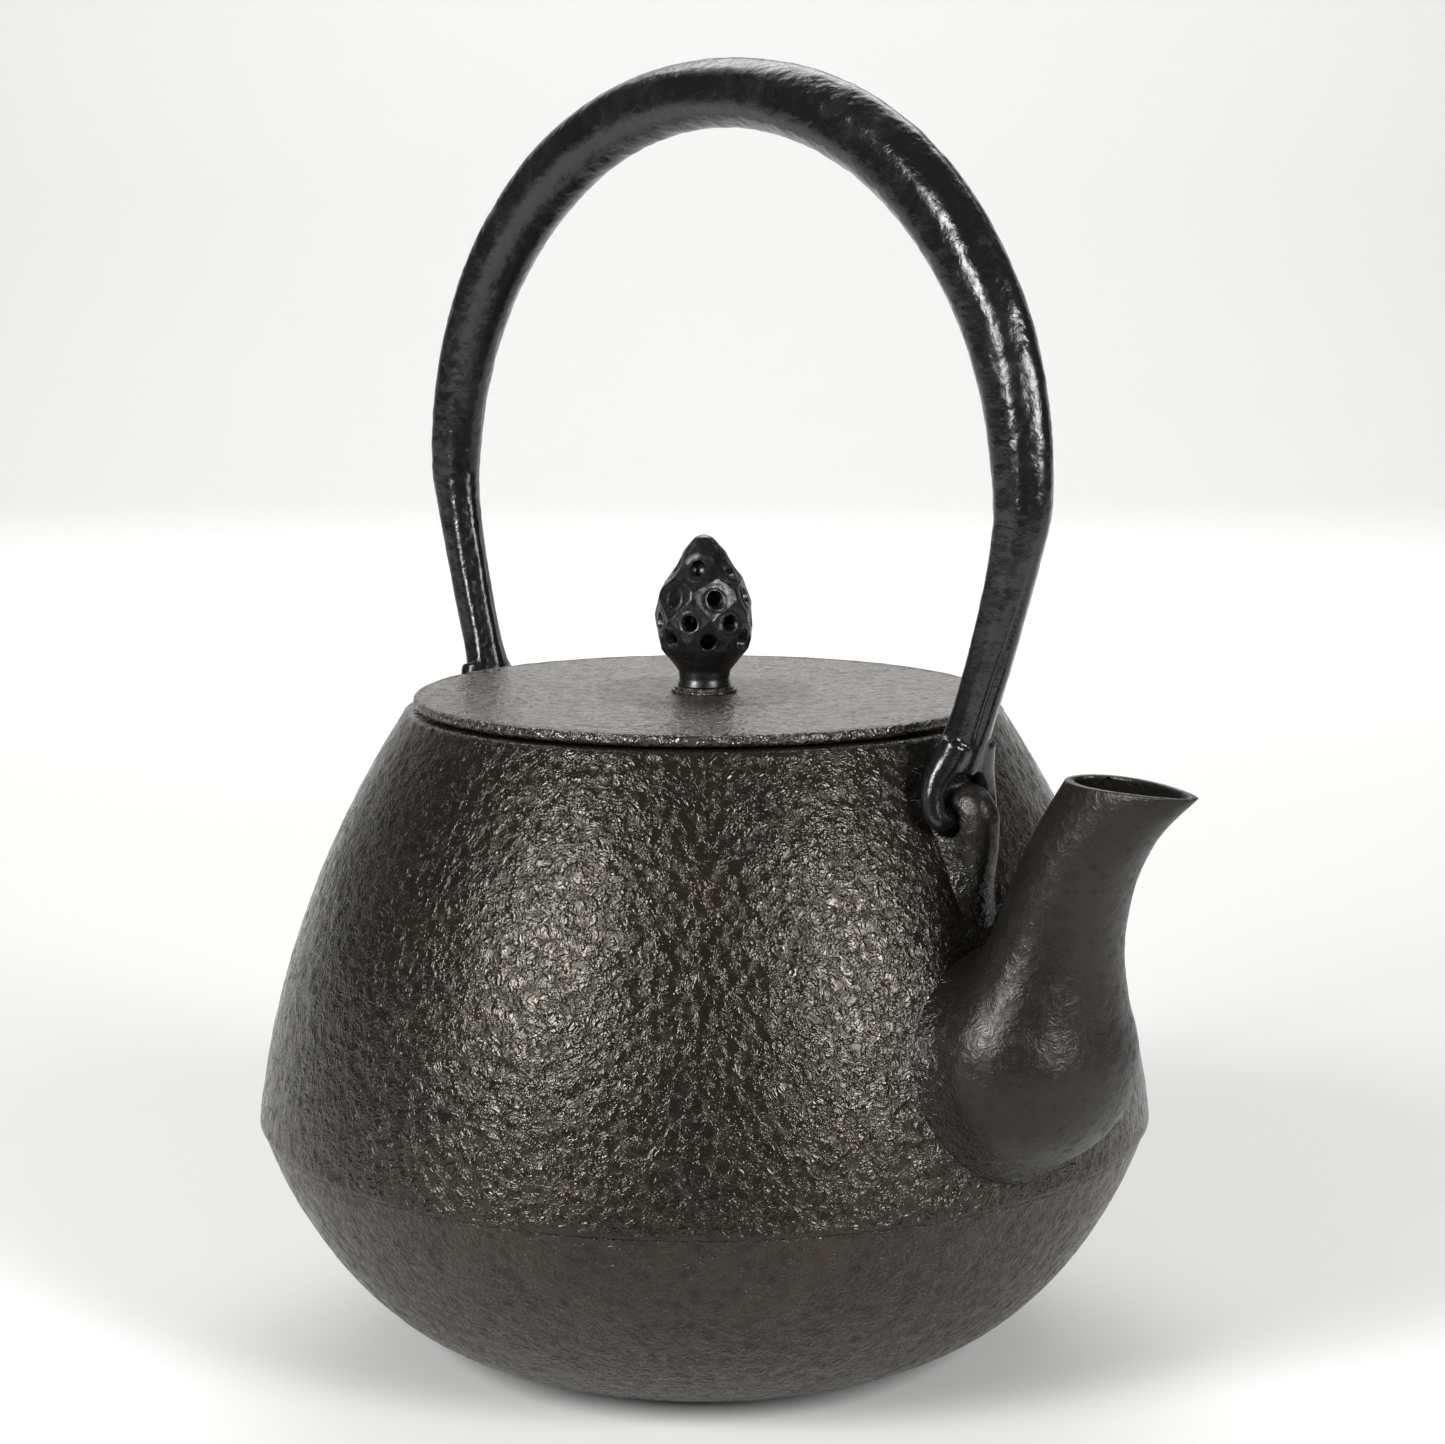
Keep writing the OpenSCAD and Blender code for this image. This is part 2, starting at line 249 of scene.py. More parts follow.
def remeshed(obj, voxel, rounds):
    """Fuses overlapping solids into one even skin and rounds its edges."""
    fuse = obj.modifiers.new("fuse", "REMESH")
    fuse.mode = "VOXEL"
    fuse.voxel_size = voxel * MM
    relax = obj.modifiers.new("relax", "SMOOTH")
    relax.iterations = rounds
    relax.factor = 0.5
    apply_modifiers(obj)


def finished(obj, body, slot, material, *nodes):
    """Gives the piece its material and the body it rides, and hides the CAD nodes it stands for; the slot
    argument is not used.
    """
    smooth_shading(obj)
    obj.data.materials.clear()
    obj.data.materials.append(material)
    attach(obj, body)
    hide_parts(*nodes)


# The upper shell's outer face is turned from an arc of this radius, which starts a little above the seam
SHOULDER_ARC = 180.0
SHOULDER_START = math.radians(7.8)
BELLY_Z = SEAM_Z + 1.4
ARC_R = BELLY_R - SHOULDER_ARC * math.cos(SHOULDER_START)
ARC_Z = BELLY_Z - SHOULDER_ARC * math.sin(SHOULDER_START)


# ---------------------------------------------------------------- materials
class Shader:
    """A short way to write a node material: add nodes, link them, set plain values."""

    def __init__(self, name):
        self.material = bpy.data.materials.new(name)
        self.material.use_nodes = True
        self.tree = self.material.node_tree
        self.main = self.tree.nodes["Principled BSDF"]
        self.place = self.add("ShaderNodeTexCoord").outputs["Object"]

    def add(self, kind, **values):
        made = self.tree.nodes.new(kind)
        for key, value in values.items():
            setattr(made, key, value)
        return made

    def link(self, source, target):
        self.tree.links.new(source, target)

    def noise(self, size, detail=2.0, roughness=0.5, distortion=0.0, place=None):
        """Noise with features of about the given size in millimetres."""
        made = self.add("ShaderNodeTexNoise")
        made.inputs["Scale"].default_value = 1 / (size * MM)
        made.inputs["Detail"].default_value = detail
        made.inputs["Roughness"].default_value = roughness
        made.inputs["Distortion"].default_value = distortion
        self.link(place or self.place, made.inputs["Vector"])
        return made.outputs["Fac"]

    def cells(self, size, feature="F1"):
        """Distance to the nearest of scattered points about the given size apart."""
        made = self.add("ShaderNodeTexVoronoi", feature=feature)
        made.inputs["Scale"].default_value = 1 / (size * MM)
        self.link(self.place, made.inputs["Vector"])
        return made.outputs["Distance"]

    def ramp(self, source, low, high, to_low=0.0, to_high=1.0):
        made = self.add("ShaderNodeMapRange", clamp=True)
        for key, value in zip(("From Min", "From Max", "To Min", "To Max"), (low, high, to_low, to_high)):
            made.inputs[key].default_value = value
        self.link(source, made.inputs["Value"])
        return made.outputs["Result"]

    def math(self, operation, a, b):
        made = self.add("ShaderNodeMath", operation=operation)
        for socket, value in zip(made.inputs, (a, b)):
            if isinstance(value, (int, float)):
                socket.default_value = value
            else:
                self.link(value, socket)
        return made.outputs["Value"]

    def blend(self, a, a_share, b, b_share):
        """The sum of two values, each times its share."""
        return self.math("ADD", self.math("MULTIPLY", a, a_share), self.math("MULTIPLY", b, b_share))

    def length(self, a, b):
        """The long side of a right triangle with short sides a and b."""
        squares = [self.math("MULTIPLY", side, side) for side in (a, b)]
        return self.math("SQRT", self.math("ADD", *squares), 0.0)

    def coordinates(self):
        split = self.add("ShaderNodeSeparateXYZ")
        self.link(self.place, split.inputs[0])
        return split.outputs

    def mix(self, factor, a, b):
        made = self.add("ShaderNodeMix", data_type="RGBA")
        self.link(factor, made.inputs["Factor"])
        for socket, value in ((made.inputs["A"], a), (made.inputs["B"], b)):
            if isinstance(value, tuple):
                socket.default_value = (*value, 1.0)
            else:
                self.link(value, socket)
        return made.outputs["Result"]

    def stretched(self, x, y, z):
        made = self.add("ShaderNodeMapping")
        made.inputs["Scale"].default_value = (x, y, z)
        self.link(self.place, made.inputs["Vector"])
        return made.outputs["Vector"]

    def bump_node(self, height, depth, strength):
        made = self.add("ShaderNodeBump")
        made.inputs["Distance"].default_value = depth * MM
        made.inputs["Strength"].default_value = strength
        self.link(height, made.inputs["Height"])
        return made

    def bump(self, height, depth, strength=1.0, under=None):
        """A bump whose full height is the given depth in millimetres."""
        made = self.bump_node(height, depth, strength)
        if under is not None:
            self.link(under, made.inputs["Normal"])
        return made.outputs["Normal"]

    def above_shell(self):
        """Distance outside the upper shell's face, in metres."""
        x, y, z = self.coordinates()
        out = self.math("SUBTRACT", self.length(x, y), ARC_R * MM)
        up = self.math("SUBTRACT", z, ARC_Z * MM)
        return self.math("SUBTRACT", self.length(out, up), SHOULDER_ARC * MM)

    def surface(self, colour, roughness, normal, metallic=0.0, specular=0.5, tint=(1.0, 1.0, 1.0)):
        self.link(colour, self.main.inputs["Base Color"])
        self.link(roughness, self.main.inputs["Roughness"])
        self.link(normal, self.main.inputs["Normal"])
        self.main.inputs["Metallic"].default_value = metallic
        self.main.inputs["Specular IOR Level"].default_value = specular
        self.main.inputs["Specular Tint"].default_value = (*tint, 1.0)
        return self.material


def cast_skin(name, dark, brown, worn, grain, depth, rough, specular, tint, calm=0.0):
    """Lacquered cast iron, a network of grains and pits, with painted shade darkening the pits. With calm it
    smooths out away from the shell.
    """
    s = Shader(name)
    net = s.noise(grain, 3.0, 0.6, 0.6)
    crest = s.ramp(s.math("ABSOLUTE", s.math("SUBTRACT", net, 0.5), 0.0), 0.0, 0.16, 1.0, 0.0)
    pits = s.ramp(s.cells(grain * 1.5), 0.1, 0.5)
    fine = s.noise(grain * 0.28, 2.0, 0.6)
    patch = s.ramp(s.noise(14.0, 3.0, 0.6), 0.42, 0.68)
    height = s.blend(crest, 0.55, pits, 0.45)
    colour = s.mix(patch, dark, brown)
    colour = s.mix(s.ramp(height, 0.55, 0.95, 0.0, 0.6), colour, worn)
    # Painted shade: the pits are darkened to a third of the dark tone, as if shade fell in them.
    colour = s.mix(s.ramp(pits, 0.0, 0.5, 0.75, 0.0), colour, tuple(c * 0.35 for c in dark))
    roughness = s.ramp(s.blend(height, 0.8, fine, 0.4), 0.35, 0.95, rough[1], rough[0])
    main, under = s.bump_node(height, depth, 1.0), s.bump_node(fine, depth * 0.22, 0.7)
    s.link(under.outputs["Normal"], main.inputs["Normal"])
    if calm:
        away = s.above_shell()
        s.link(s.ramp(away, 1.0 * MM, 8.0 * MM, 1.0, 1.0 - calm), main.inputs["Strength"])
        roughness = s.math("ADD", roughness, s.ramp(away, 1.0 * MM, 8.0 * MM, 0.0, 0.16))
    return s.surface(colour, roughness, main.outputs["Normal"], specular=specular, tint=tint)


def hammered_lacquer(name):
    """Black lacquer over forged iron: dents, a fine grain with painted shade in its low spots, and rubbed
    patches.
    """
    s = Shader(name)
    dents = s.cells(4.2, "SMOOTH_F1")
    grain = s.noise(1.2, 3.0, 0.65, 0.8)
    fine = s.noise(0.3, 2.0, 0.6)
    rubbed = s.ramp(s.noise(7.0, 4.0, 0.65), 0.5, 0.72)
    colour = s.mix(rubbed, (0.0055, 0.0055, 0.0058), (0.012, 0.011, 0.0105))
    # Painted shade: the low spots of the bump grain are darkened to near black, as if shade fell in them.
    colour = s.mix(s.ramp(grain, 0.25, 0.42, 0.7, 0.0), colour, (0.002, 0.002, 0.002))
    roughness = s.ramp(s.math("ADD", grain, s.math("MULTIPLY", rubbed, 0.5)), 0.3, 1.1, 0.17, 0.34)
    normal = s.bump(grain, 0.11, 0.9, s.bump(dents, 0.20, 0.6, s.bump(fine, 0.02, 0.6)))
    return s.surface(colour, roughness, normal, specular=0.55)


def cast_lid(name):
    """The lid's finer skin: a low brown network with a darker round patch at the middle and a rim painted
    dark as painted shade of its rounded edge.
    """
    s = Shader(name)
    net = s.noise(3.0, 3.0, 0.6, 0.4)
    crest = s.ramp(s.math("ABSOLUTE", s.math("SUBTRACT", net, 0.5), 0.0), 0.0, 0.15, 1.0, 0.0)
    flecks = s.noise(0.5, 2.0, 0.6)
    cloud = s.noise(9.0, 3.0, 0.55)
    away = s.length(*s.coordinates()[:2])
    wander = s.math("MULTIPLY", s.math("SUBTRACT", cloud, 0.5), 9 * MM)
    middle = s.ramp(s.math("ADD", away, wander), 20.0 * MM, 23.0 * MM, 1.0, 0.0)
    edge = s.ramp(away, 51.5 * MM, 53.5 * MM)
    colour = s.mix(s.ramp(net, 0.35, 0.65), (0.013, 0.0095, 0.0072), (0.060, 0.045, 0.034))
    colour = s.mix(s.ramp(cloud, 0.4, 0.65, 0.0, 0.5), colour, (0.036, 0.024, 0.017))
    colour = s.mix(s.math("MULTIPLY", middle, 0.75), colour, (0.013, 0.009, 0.006))
    # Painted shade: the outer band of the rim is painted near black, standing in for the dark band its
    # rounded edge shows.
    colour = s.mix(s.math("MULTIPLY", edge, 0.8), colour, (0.009, 0.0085, 0.008))
    rough = s.ramp(s.blend(crest, 0.6, flecks, 0.4), 0.15, 0.75, 0.42, 0.15)
    roughness = s.math("ADD", rough, s.math("MULTIPLY", middle, 0.12))
    normal = s.bump(crest, 0.28, 1.0, s.bump(flecks, 0.03, 0.8))
    return s.surface(colour, roughness, normal, specular=0.9, tint=(1.0, 0.94, 0.85))


def smooth_lacquer(name):
    """Thick glossy black lacquer with faint dips, for the knob."""
    s = Shader(name)
    grain = s.noise(0.8, 3.0, 0.6)
    cloud = s.ramp(s.noise(4.0, 2.0, 0.5), 0.4, 0.7)
    colour = s.mix(cloud, (0.0045, 0.0045, 0.0045), (0.011, 0.010, 0.0095))
    roughness = s.ramp(grain, 0.3, 0.7, 0.20, 0.40)
    return s.surface(colour, roughness, s.bump(grain, 0.05, 0.7), specular=0.55)


def satin_steel(name, tint, streak):
    """Stainless sheet with fine drawn lines and faint finger marks."""
    s = Shader(name)
    lines = s.noise(0.25, 2.0, 0.5, 0.0, s.stretched(*streak))
    marks = s.noise(8.0, 3.0, 0.5)
    colour = s.mix(s.ramp(marks, 0.35, 0.7), tint, tuple(c * 0.86 for c in tint))
    roughness = s.ramp(s.blend(lines, 0.6, marks, 0.4), 0.3, 0.7, 0.22, 0.38)
    return s.surface(colour, roughness, s.bump(lines, 0.01, 0.5), metallic=1.0)


UPPER = cast_skin(
    "upper_body_skin", dark=(0.0060, 0.0052, 0.0042), brown=(0.0125, 0.0088, 0.0060),
    worn=(0.0125, 0.0105, 0.0085), grain=2.1, depth=0.21, rough=(0.10, 0.42), specular=0.42,
    tint=(1.0, 0.92, 0.80),
)
LOWER = cast_skin(
    "lower_body_skin", dark=(0.0095, 0.0076, 0.0060), brown=(0.021, 0.0145, 0.0105),
    worn=(0.022, 0.017, 0.0135), grain=2.4, depth=0.46, rough=(0.16, 0.44), specular=0.34,
    tint=(1.0, 0.92, 0.80),
)
SPOUT = cast_skin(
    "spout_skin", dark=(0.0062, 0.0057, 0.0052), brown=(0.0110, 0.0086, 0.0070),
    worn=(0.0100, 0.0090, 0.0080), grain=1.9, depth=0.20, rough=(0.14, 0.38), specular=0.36,
    tint=(1.0, 0.96, 0.89), calm=0.62,
)
LID = cast_lid("lid_skin")
BAIL = hammered_lacquer("bail_lacquer")
KNOB = smooth_lacquer("knob_lacquer")
STEEL = satin_steel("basket_steel", (0.56, 0.565, 0.57), (0.05, 0.05, 1.0))
STUD = satin_steel("stud_steel", (0.30, 0.29, 0.28), (1.0, 1.0, 0.1))


# ---------------------------------------------------------------- body
SKIN_STEP = 0.74  # distance between the points of the shells' outer skins


def shoulder_r(z, inset=0.0):
    """Radius of the upper shell's outer face at a height, or of a face that far inside it."""
    return ARC_R + np.sqrt((SHOULDER_ARC - inset) ** 2 - (np.asarray(z) - ARC_Z) ** 2)


def coarse_skin(points):
    """Height of the upper shell's cast skin: broad dips, knobbly grains and sharp small ridges."""
    broad = noise(points, 16.0, 1) - 1.0
    lumps = noise(points, 3.4, 2) - 1.0
    grains = ridges(points, 2.1, 3) - 1.0
    return 0.30 * broad + 0.17 * lumps + 0.15 * grains


def fine_skin(points):
    """Height of the lower shell's finer pebble."""
    broad = noise(points, 14.0, 5) - 1.0
    lumps = noise(points, 2.4, 6) - 1.0
    grains = ridges(points, 1.9, 7) - 1.0
    return 0.22 * broad + 0.10 * lumps + 0.18 * grains


def solid_of_turn(name, outline, sides):
    """A closed solid turned from a closed outline that stays clear of the axis."""
    made = ring_mesh(name, turned(outline, sides), closed=True)
    outward(made)
    return made


def make_upper_shell():
    rows = int((MOUTH_Z - BELLY_Z) * 1.08 / SKIN_STEP)
    heights = np.linspace(BELLY_Z, MOUTH_Z - 0.5, rows)
    outer = np.stack([shoulder_r(heights), heights], axis=1)
    recess_r, ledge_z, mouth_r, lip_z = 49.0, MOUTH_Z - 1.6, 45.0, MOUTH_Z - 5.3
    top_r = float(shoulder_r(MOUTH_Z))
    inner_z = np.linspace(lip_z, SEAM_Z, 26)
    outline = np.vstack([
        [[BELLY_R - 0.10, SEAM_Z], [BELLY_R - 0.02, SEAM_Z + 0.7]],
        outer,
        [[top_r - 0.25, MOUTH_Z - 0.12], [top_r - 0.8, MOUTH_Z], [52.0, MOUTH_Z], [recess_r + 0.3, MOUTH_Z]],
        [[recess_r, MOUTH_Z - 0.3], [recess_r, ledge_z], [mouth_r + 0.3, ledge_z], [mouth_r, ledge_z - 0.3]],
        [[mouth_r, lip_z + 0.4], [mouth_r + 0.4, lip_z], [50.0, lip_z]],
        np.stack([shoulder_r(inner_z, WALL), inner_z], axis=1),
        [[BELLY_R - 1.8, SEAM_Z]],
    ])
    made = solid_of_turn("upper_body", outline, int(TURN * 76 / SKIN_STEP))
    points = points_of(made)
    radius = np.hypot(points[:, 0], points[:, 1])
    outside = radius > shoulder_r(np.clip(points[:, 2], SEAM_Z, MOUTH_Z)) - 0.9
    edge = np.clip((points[:, 2] - SEAM_Z) / 1.2, 0, 1) * np.clip((MOUTH_Z - points[:, 2]) / 1.2, 0, 1)
    raise_skin(made, lambda p: np.where(outside, coarse_skin(p) * (0.25 + 0.75 * edge), 0.0))
    cut(made, rod("spout_hole", 11.0, (BELLY_R - 30, 0, 66), (BELLY_R + 10, 0, 66), 64))
    finished(made, "kettle", "upper_body", UPPER, "upper_shell")


def make_lower_shell():
    base_r, top_r = 36.5, lower_high[1]
    curve = bezier([[base_r, 0], [65, 0], [80.7, 30.2], [top_r, SEAM_Z]], np.linspace(0, 1, 160))
    outer = resampled(curve, SKIN_STEP)
    along = np.gradient(curve, axis=0)
    along /= np.linalg.norm(along, axis=1)[:, None]
    inner = (curve + WALL * np.stack([-along[:, 1], along[:, 0]], axis=1))[::-8]
    inner = inner[inner[:, 1] < SEAM_Z - 0.4]
    outline = np.vstack([
        [[0.8, 0.0], [12.0, 0.0], [24.0, 0.0], [33.0, 0.0]],
        outer,
        [[inner[0, 0] + 0.2, SEAM_Z]],
        inner,
        [[24.0, WALL], [12.0, WALL], [0.8, WALL]],
    ])
    made = ring_mesh("lower_body", turned(outline, int(TURN * 72 / SKIN_STEP)))
    outward(made)
    points = points_of(made)
    radius = np.hypot(points[:, 0], points[:, 1])
    curve_r = np.interp(points[:, 2], curve[:, 1], curve[:, 0])
    outside = (radius > curve_r - 0.6) & (points[:, 2] > 0.02)
    edge = np.clip(points[:, 2] / 1.5, 0, 1) * np.clip((SEAM_Z - points[:, 2]) / 0.8, 0, 1)
    raise_skin(made, lambda p: np.where(outside, fine_skin(p) * edge, 0.0))
    finished(made, "kettle", "lower_body", LOWER, "lower_shell")


def shell_core(inset):
    """The solid that the shell's outer face bounds, drawn in by an inset."""
    heights = np.linspace(BELLY_Z, MOUTH_Z, 60)
    outline = np.vstack([
        [[0.5, 30.0], [BELLY_R - inset, 30.0]],
        np.stack([shoulder_r(heights, inset), heights], axis=1),
        [[0.5, MOUTH_Z]],
    ])
    made = ring_mesh("shell_core", turned(outline, 360))
    outward(made)
    return made


def above_shell(points):
    """Distance of points outside the upper shell's face, in millimetres."""
    return np.hypot(np.hypot(points[:, 0], points[:, 1]) - ARC_R, points[:, 2] - ARC_Z) - SHOULDER_ARC


def flared(obj, reach, spread):
    """Widens the root of something that stands on the shell into a soft fillet."""
    points, normals = points_of(obj), normals_of(obj)
    radius = np.hypot(points[:, 0], points[:, 1])
    out = (radius - ARC_R) / (above_shell(points) + SHOULDER_ARC)
    up = (points[:, 2] - ARC_Z) / (above_shell(points) + SHOULDER_ARC)
    face = np.stack([points[:, 0] / radius * out, points[:, 1] / radius * out, up], axis=1)
    sideways = normals - face * np.sum(normals * face, axis=1)[:, None]
    near = np.clip(1 - (above_shell(points) + 0.4) / reach, 0, 1)
    set_points(obj, points + sideways * (spread * near**2.2)[:, None])


# ---------------------------------------------------------------- spout
# The spout's front and back outlines as (x, z) from its root to its mouth, and half its width across
FRONT = [
    (76, 47.6), (88.5, 50.6), (97.2, 57.6), (100.9, 68), (99.9, 79),
    (99.9, 90), (103, 101), (109, 110.2), (118.1, 118.5),
]
BACK = [
    (66, 78), (67, 79), (69, 80.5), (71.5, 83), (75.4, 86.5),
    (79, 92.5), (83, 102.4), (87.2, 111.2), (92.2, 119.2),
]
HALF = [16, 19.5, 20.6, 19, 15.2, 12.4, 10.6, 9.6, 8.6]


def spout_rings(inset, count, sides, beyond=0):
    """Rings across the spout between its outlines, narrowing to a beak at the mouth."""
    rings = []
    angle = np.arange(sides) * TURN / sides
    for j in range(count + 1 + beyond):
        s = min(j / count, 1.0)
        front, back, half = spline(FRONT, s)[0], spline(BACK, s)[0], spline(HALF, s)[0]
        middle, reach = (front + back) / 2, np.linalg.norm(front - back) / 2
        along = (front - back) / (2 * reach)
        thin = inset * (1 - 0.45 * max(0, (s - 0.85) / 0.15))
        beak = 0.5 * max(0, (s - 0.7) / 0.3) ** 2
        flat = middle + along * (reach - thin) * np.cos(angle)[:, None]
        across = (half - thin) * np.sin(angle) * (1 - beak * (1 + np.cos(angle)) / 2)
        rings.append(np.stack([flat[:, 0], across, flat[:, 1] + 1.5 * max(0, j - count)], axis=1))
    return rings


def make_spout():
    made = ring_mesh("spout_casting", spout_rings(0.0, 150, 150))
    outward(made)
    channel = ring_mesh("channel", spout_rings(2.8, 60, 64, 2))
    outward(channel)
    cut(made, channel, shell_core(1.8))
    top = spout_high[2]

    def skin(points):
        broad = 0.16 * (noise(points, 12.0, 11) - 1.0)
        grain = 0.09 * (noise(points, 1.7, 12) - 1.0) + 0.07 * (ridges(points, 1.2, 13) - 1.0)
        return (broad + grain) * np.clip((top - 1.5 - points[:, 2]) / 6.0, 0.12, 1)

    raise_skin(made, skin)
    flared(made, 6.5, 2.3)
    finished(made, "kettle", "spout_iron", SPOUT, "spout")


# ---------------------------------------------------------------- lugs
LUG_X, LUG_Z, LUG_R = 68.0, 108.4, 6.6
LUG_HOLE_R = 2.9
# Heights up the front lug with the reach of its outer side there, and heights with half its width
LUG_OUT = ([87, 91, 94, 97.5, 103.5, LUG_Z], [71.6, 72.6, 72.6, 73.2, 74.3, LUG_X + LUG_R])
LUG_HALF = ([87, 91, 96, 104, 109], [1.6, 2.4, 3.3, 4.0, 4.15])


def make_lug(node, name, mirror):
    """A plump ear standing on the shoulder, tapering down into it, with a round hole across."""
    sides = 48
    angle = np.arange(sides) * TURN / sides
    side = np.sign(np.sin(angle)) * np.abs(np.sin(angle)) ** 0.85
    depth = np.sign(np.cos(angle)) * np.abs(np.cos(angle)) ** 0.9
    cap = LUG_Z + LUG_R * np.sin(np.linspace(-0.08, 1.54, 26))
    heights = np.concatenate([np.linspace(87, 107.5, 42), cap])
    rings = []
    for z in heights:
        rise = max(z - LUG_Z, 0)
        dome = math.sqrt(max(1 - (rise / LUG_R) ** 2, 0.0004))
        out = LUG_X + LUG_R * dome if rise else np.interp(z, *LUG_OUT)
        back = LUG_X - LUG_R * dome
        if rise < 3:
            back = max(back, float(shoulder_r(z)) - 2.6)
        x = (out + back) / 2 + (out - back) / 2 * depth
        half = np.interp(z, *LUG_HALF) * dome**0.8
        rings.append(np.stack([x, half * side, np.full(sides, z)], axis=1))
    made = ring_mesh(name, rings)
    outward(made)
    cut(made, rod("lug_hole", LUG_HOLE_R, (PIN_X, -8, PIN_Z), (PIN_X, 8, PIN_Z), 40))
    remeshed(made, 0.3, 8)
    raise_skin(made, lambda p: 0.12 * (noise(p, 3.0, 21) - 0.8) + 0.12 * (ridges(p, 1.5, 22) - 0.8))
    flared(made, 4.0, 1.8)
    if mirror < 0:
        set_points(made, points_of(made) * [-1, 1, 1])
        made.data.flip_normals()
    finished(made, "kettle", "upper_body", SPOUT, node)


# ---------------------------------------------------------------- lid
def make_lid():
    top, under, foot = lid_high[2], lid_high[2] - 2.3, lid_low[2]
    rim = lid_high[0]
    bore, collar_r, collar_t = 2.05, 42.6, 2.4
    collar_in = collar_r - collar_t
    angle = np.linspace(math.pi / 2, -math.pi / 2, 13)
    edge = np.stack([rim - 1.1 + 1.1 * np.cos(angle), (top + under) / 2 + 1.15 * np.sin(angle)], axis=1)
    outline = np.vstack([
        resampled([[bore, top], [rim - 1.6, top]], 0.7),
        edge,
        [[rim - 2.0, under], [48.0, under], [collar_r + 0.3, under], [collar_r, under - 0.4]],
        [[collar_r, foot + 0.4], [collar_r - 0.4, foot], [collar_in + 0.4, foot], [collar_in, foot + 0.4]],
        [[collar_in, under - 0.5], [collar_in - 0.5, under], [20.0, under], [bore, under]],
    ])
    made = solid_of_turn("lid", outline, 480)

    def skin(points):
        radius = np.hypot(points[:, 0], points[:, 1])
        on_top = (points[:, 2] > under + 1.0) & (radius > 2.6)
        warp = 0.10 * (noise(points, 22.0, 31) - 1.0) + 0.13 * (noise(points, 2.8, 32) - 1.0)
        stroke = 0.05 * (noise(points * [0.4, 1, 1], 1.1, 33) - 1.0)
        hammered = 0.12 * (noise(points, 3.0, 34) - 1.0) * (radius > rim - 2.2)
        return np.where(on_top, (warp + stroke) * (radius < rim - 1.0) + hammered, 0.0)

    raise_skin(made, skin)
    finished(made, "lid", "lid_iron", LID, "lid_plate")


# ---------------------------------------------------------------- knob
# The bud's outline as shares of its radius and height
BUD = [
    (0.52, 0), (0.49, 0.05), (0.52, 0.1), (0.70, 0.18), (0.87, 0.245),
    (0.96, 0.32), (1, 0.40), (0.97, 0.53), (0.90, 0.62), (0.78, 0.71),
    (0.60, 0.81), (0.43, 0.89), (0.26, 0.955), (0.17, 0.985), (0.03, 1),
]
# Rows of holes round the bud as (share of its height, holes in the row, first angle in degrees)
PIERCED = [(0.32, 7, 15), (0.44, 7, 43), (0.60, 6, 33), (0.79, 5, 17)]


def bud_holes():
    """The holes as (share of the bud's height, angle in radians)."""
    return [(h, math.radians(start + 360 * i / n)) for h, n, start in PIERCED for i in range(n)]


def make_bud():
    foot, tall, wide = bud_low[2], bud_high[2] - bud_low[2], bud_high[0]
    shape = np.array([(r * wide, foot + h * tall) for r, h in BUD])
    outline = resampled(shape, 0.22)
    made = ring_mesh("knob", turned(outline, 260))
    outward(made)
    centres = []
    for share, angle in bud_holes():
        z = foot + share * tall
        r = np.interp(z, shape[:, 1], shape[:, 0])
        centres.append((r * math.cos(angle), r * math.sin(angle), z))

    def skin(points):
        """Rounded net between the holes: each hole sits in a soft dimple with a faint rim."""
        nearest = np.full(len(points), 99.0)
        for centre in centres:
            nearest = np.minimum(nearest, np.linalg.norm(points - centre, axis=1))
        rim = 0.22 * np.exp(-(((nearest - 2.0) / 0.45) ** 2))
        net = 0.75 * np.clip((nearest - 2.0) / 2.6, 0, 1) * (nearest < 9)
        height = points[:, 2] - foot
        body = np.clip((height - 0.14 * tall) / 4.0, 0, 1) * np.clip((0.93 * tall - height) / 3.0, 0, 1)
        wobble = 0.35 * (noise(points, 4.5, 42) - 0.9) + 0.10 * (noise(points, 1.3, 41) - 1.0)
        return (rim + net - 0.75) * body + wobble * np.clip(height / 3.0, 0.2, 1)

    raise_skin(made, skin)
    tools = []
    for share, angle in bud_holes():
        z = foot + share * tall
        start, end = [(r * math.cos(angle), r * math.sin(angle), z) for r in (3.0, wide + 2)]
        tools.append(rod("pierce", 1.55, start, end, 24))
    tools.append(rod("socket", 2.0, (0, 0, foot - 1), (0, 0, foot + 4), 32))
    cut(made, *tools)
    finished(made, "knob", "knob_iron", KNOB, "knob_bud")


# ---------------------------------------------------------------- bail and forks
# From the top of the bail to its foot: the radius in its own plane, and the share of that across it
BAIL_RADII = [6.44, 7.09, 6.37, 4.69, 4.16]
BAIL_FLAT = [0.97, 0.90, 0.84, 0.86, 0.91]
LEAN = math.radians(1.5)


def bail_half():
    """Half of the bail's centreline from its top down to its foot, as an upper and a lower curve."""
    top_z, wide, wide_z = 234.9, 78.7, 162.5
    upper = bezier([[0, top_z], [45.5, top_z], [wide, 201.9], [wide, wide_z]], np.linspace(0, 1, 200))
    lower = bezier([[wide, wide_z], [wide, 155.3], [69.3, 125.1], [64.9, 117]], np.linspace(0, 1, 90))
    return upper, lower


